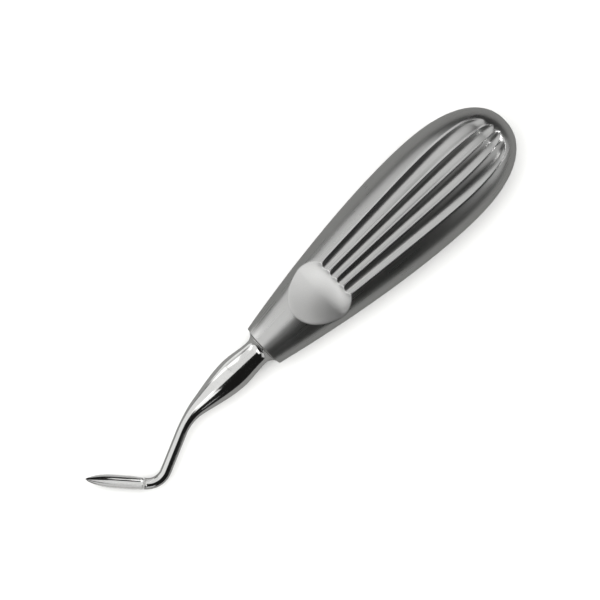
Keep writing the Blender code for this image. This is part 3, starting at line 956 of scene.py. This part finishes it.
@dataclass(frozen=True)
class SatinFinish(SteelFinish):
    """The handle's satin polish, with its thumb rest bead blasted, and its ridge crests smoother and
    lighter: a painted highlight along them.
    """

    level: float = 0.52
    marked_level: float = 0.546
    crest_highlight_level: float = 0.56
    blasted_level: float = 0.74
    glint_level: float = 0.8288
    roughness: float = 0.30
    crest_roughness: float = 0.27
    blasted_roughness: float = 0.47
    haze: float = 0.03
    smudge: float = 0.018
    line_height: float = 0.0000004
    grain_height: float = 0.000016
    lines_per_metre: float = 7000.0
    line_stretch: float = 60.0
    patches_per_metre: float = 90.0
    craters_per_metre: float = 7500.0

    def build(self, effects: SteelEffects) -> bpy.types.Material:
        """Builds the material from the blasted and crest masks and the shared effects."""
        material, bench, shader = new_material(Slot.SATIN.value, metallic=1.0)
        polish = self.polish(bench, effects)
        position = bench.add("ShaderNodeTexCoord").outputs["Object"]
        blasted = bench.add("ShaderNodeAttribute", {"attribute_name": BLASTED}).outputs["Fac"]
        crest = bench.add("ShaderNodeAttribute", {"attribute_name": CREST}).outputs["Fac"]
        grain = bench.add("ShaderNodeGroup", {"node_tree": effects.grain}, Position=position)
        bench.feed_all(grain, Craters_Per_Metre=self.craters_per_metre)
        # Ridge crests get a lighter base colour: a painted highlight along them.
        crest_highlighted = bench.blend_colour(crest, polish.colour, grey(self.crest_highlight_level))
        glint = bench.blend_colour(grain.outputs["Glint"], grey(self.blasted_level), grey(self.glint_level))
        smudged = bench.math("MULTIPLY_ADD", polish.mask, self.smudge, polish.roughness)
        satin = bench.blend(crest, smudged, self.crest_roughness)
        line_height = bench.math("MULTIPLY", polish.line_height, self.line_height / self.grain_height)
        height = bench.blend(blasted, line_height, grain.outputs["Height"])
        bench.feed_all(
            shader,
            Base_Color=bench.blend_colour(blasted, crest_highlighted, glint),
            Roughness=bench.blend(blasted, satin, self.blasted_roughness),
            Normal=bench.bump(height, self.grain_height),
        )
        return material


@dataclass(frozen=True)
class MirrorFinish(SteelFinish):
    """The working end's mirror polish, with the faintest lines along it and a few wiping marks."""

    level: float = 0.70
    marked_level: float = 0.672
    speck_level: float = 0.63
    roughness: float = 0.10
    haze: float = 0.03
    line_height: float = 0.0000002
    lines_per_metre: float = 5000.0
    line_stretch: float = 90.0
    patches_per_metre: float = 160.0

    def build(self, effects: SteelEffects) -> bpy.types.Material:
        """Builds the material from the shared effects."""
        material, bench, shader = new_material(Slot.POLISHED.value, metallic=1.0)
        polish = self.polish(bench, effects)
        bench.feed_all(
            shader,
            Base_Color=bench.blend_colour(polish.speck, polish.colour, grey(self.speck_level)),
            Roughness=bench.blend(polish.mask, polish.roughness, self.roughness + self.haze),
            Normal=bench.bump(polish.line_height, self.line_height),
        )
        return material


@dataclass(frozen=True)
class Elevator:
    """The whole tool: its two pieces, laid down and dressed."""

    handle: PearHandle
    working_end: WorkingEnd
    rest: Rest

    def show(self, skin: Skin, material: bpy.types.Material, name: str, node: Node) -> None:
        """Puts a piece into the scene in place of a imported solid.

        Args:
            skin: Its surface, where it lies. The object stays at the origin, with its place in its mesh.
            material: Its finish.
            name: The piece's name.
            node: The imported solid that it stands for.
        """
        mesh = skin.mesh(name)
        mesh.materials.append(material)
        piece = add_object(name, mesh)
        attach(piece, BODY)
        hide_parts(node.value)
        LOG.info("%s: %d points, %d faces", name, len(mesh.vertices), len(mesh.polygons))

    def build(self, effects: SteelEffects) -> Array:
        """Builds both pieces and returns the move that laid them down."""
        handle = self.handle.skin()
        handle = replace(handle, rings=self.rest.cut_flat(handle.rings))
        shift = self.rest.shift_to(handle.rings, Node.HANDLE)
        satin, mirror = SatinFinish().build(effects), MirrorFinish().build(effects)
        end = self.working_end.skin()
        self.show(self.rest.laid(handle, shift), satin, "pear_handle", Node.HANDLE)
        self.show(self.rest.laid(end, shift), mirror, "working_end", Node.BLADE_SHANK)
        return shift


@dataclass(frozen=True)
class Panel:
    """A flat light that faces the tool.

    Attributes:
        name: The light's name.
        foot: Middle of its lower edge in metres.
        head: Middle of its upper edge.
        half_width: Half its width in metres, along the level line square to the way from foot to head.
        radiance: How bright its face is.
        reflects: Whether steel shows it, or it only lights the floor.
    """

    name: str
    foot: tuple[float, float, float]
    head: tuple[float, float, float]
    half_width: float
    radiance: float
    reflects: bool = True

    def build(self) -> None:
        """Makes the light, with its face towards the tool."""
        foot, head = Vector(self.foot), Vector(self.head)
        rise = (head - foot).normalized()
        across = rise.cross(Vector((0.0, 0.0, 1.0))).normalized()
        back = across.cross(rise)
        middle = (foot + head) / 2.0
        if back.dot(middle) < 0.0:
            across, back = -across, -back
        lamp = bpy.data.lights.new(self.name, "AREA")
        lamp.shape = "RECTANGLE"
        lamp.size = 2.0 * self.half_width
        lamp.size_y = (head - foot).length
        lamp.energy = self.radiance * math.pi * lamp.size * lamp.size_y
        item = add_object(self.name, lamp)
        item.matrix_world = Matrix.Translation(middle) @ Matrix((across, rise, back)).transposed().to_4x4()
        item.visible_camera = False
        item.visible_glossy = self.reflects


@dataclass(frozen=True)
class Studio:
    """A pale floor, soft panels and the photograph's camera, which looks straight down."""

    picture_turn: float = math.radians(43.0)
    picture_width: float = 0.15741
    picture_middle: tuple[float, float] = (0.01516, 0.00229)
    subject_height: float = 0.008
    lens: float = 300.0
    sensor: float = 36.0
    nearest: float = 0.01
    floor_half_size: float = 0.9
    floor_squares: int = 8
    floor_level: float = 0.80
    fibre_level: float = 0.808
    fibres_per_metre: float = 900.0
    fibre: Noise = Noise(2.0, 0.5)
    floor_roughness: float = 0.9
    reflected_floor_shade: float = 0.20
    reflected_floor_far_shade: float = 0.03
    floor_dark_from: float = -0.16
    floor_dark_fade: float = 0.07
    surround: float = 0.012
    backdrop: float = 0.93

    def panels(self) -> list[Panel]:
        """The lights.

        A panel in three parts leans over the tool from beside it, and one leans over its tip. Low cards
        stand off the tip, off the butt, close to the handle and close to the blade's rim. A small bright
        panel puts sparks into the flutes' ends, and a large one that steel doesn't show lights the floor.
        """
        return [
            Panel("side_panel", (-0.95, 1.10, 0.12), (-0.95, -0.01, 1.20), 0.80, 1.01),
            Panel("side_panel_middle", (0.03, 1.10, 0.30), (0.03, -0.01, 1.20), 0.18, 0.91),
            Panel("side_panel_end", (0.46, 1.05, 0.56), (0.46, -0.01, 1.20), 0.25, 0.84),
            Panel("tip_panel", (-0.98, -0.12, 0.62), (-0.62, -0.08, 1.03), 0.34, 1.45),
            Panel("tip_card", (-0.75, -0.60, 0.03), (-0.62, -0.50, 0.40), 0.30, 0.66),
            Panel("spark_panel", (0.80, -0.31, 0.61), (0.69, -0.27, 0.77), 0.10, 14.0),
            Panel("butt_card", (0.62, -0.72, 0.04), (0.56, -0.65, 0.80), 0.40, 0.48),
            Panel("near_card", (0.12, -0.165, 0.045), (0.12, -0.13, 0.105), 0.080, 0.24),
            Panel("rim_card", (-0.0325, 0.0375, 0.001), (-0.0345, 0.0355, 0.028), 0.022, 0.70),
            Panel("floor_fill", (0.0, 1.1, 1.1), (0.0, -0.9, 1.5), 1.6, 2.3, reflects=False),
        ]

    def floor_material(self) -> bpy.types.Material:
        """A matt pale floor, which steel reflects darker than the camera sees it: painted shade in its
        reflections, near black towards -Y.
        """
        material, bench, shader = new_material("pale_floor", metallic=0.0)
        position = bench.add("ShaderNodeTexCoord").outputs["Object"]
        fibre = bench.noise(position, self.fibres_per_metre, self.fibre)
        # Rays from the steel see the floor with painted shade: darker than the camera sees it, and near
        # black beyond a line towards -Y.
        reflected = bench.add("ShaderNodeLightPath").outputs["Is Glossy Ray"]
        across = bench.add("ShaderNodeSeparateXYZ", Vector=position).outputs["Y"]
        near = bench.range(across, self.floor_dark_from, self.floor_dark_from + self.floor_dark_fade)
        seen = bench.blend_colour(fibre, grey(self.floor_level), grey(self.fibre_level))
        painted_floor_shade = bench.blend_colour(near, grey(self.reflected_floor_far_shade), grey(self.reflected_floor_shade))
        bench.feed_all(
            shader,
            Base_Color=bench.blend_colour(reflected, seen, painted_floor_shade),
            Roughness=self.floor_roughness,
            Specular_IOR_Level=0.0,
        )
        return material

    def build_floor(self) -> None:
        """The floor: a flat square grid at the level that the tool lies on."""
        squares = {"x_segments": self.floor_squares, "y_segments": self.floor_squares}
        grid = bmesh.new()
        bmesh.ops.create_grid(grid, size=self.floor_half_size, **squares)
        mesh = bpy.data.meshes.new("floor")
        grid.to_mesh(mesh)
        grid.free()
        mesh.materials.append(self.floor_material())
        add_object("floor", mesh)

    def build_world(self) -> None:
        """Dark surroundings for the steel to reflect, and a pale backdrop for the camera."""
        world = bpy.data.worlds.new("studio")
        world.use_nodes = True
        bpy.context.scene.world = world
        world.node_tree.nodes.clear()
        bench = NodeBench(world.node_tree)
        path = bench.add("ShaderNodeLightPath")
        chosen = bench.add("ShaderNodeMixShader", Fac=path.outputs["Is Camera Ray"])
        for place, level in ((1, self.surround), (2, self.backdrop)):
            background = bench.add("ShaderNodeBackground", Color=grey(level), Strength=1.0)
            bench.feed(chosen.inputs[place], background.outputs[0])
        bench.add("ShaderNodeOutputWorld", Surface=chosen.outputs[0])

    def build_camera(self, rest: Rest, shift: Array) -> None:
        """A long lens straight over the picture's middle, turned so that the handle rises to the right."""
        middle = rest.turned(np.array([*self.picture_middle, 0.0])) + shift
        data = bpy.data.cameras.new("camera")
        data.lens = self.lens
        data.sensor_width = self.sensor
        data.clip_start = self.nearest
        camera = add_object("camera", data)
        height = self.picture_width * self.lens / self.sensor + self.subject_height
        camera.location = (middle[0], middle[1], height)
        camera.rotation_euler = (0.0, 0.0, -self.picture_turn)
        bpy.context.scene.camera = camera

    def build(self, rest: Rest, shift: Array) -> None:
        """Builds the floor, the world, the lights and the camera."""
        bpy.context.scene.view_settings.view_transform = "Standard"
        self.build_floor()
        self.build_world()
        for panel in self.panels():
            panel.build()
            LOG.info("light %s", panel.name)
        self.build_camera(rest, shift)


def main() -> None:
    """Builds the tool and its studio, and reports each piece."""
    logging.basicConfig(level=logging.INFO, format="%(name)s: %(message)s")
    effects = SteelEffects(PolishLines().build(), HandMarks().build(), Grain().build())
    neck = Neck()
    elevator = Elevator(PearHandle(neck), WorkingEnd(neck), Rest())
    shift = elevator.build(effects)
    Studio().build(elevator.rest, shift)


if __name__ == "__main__":
    main()
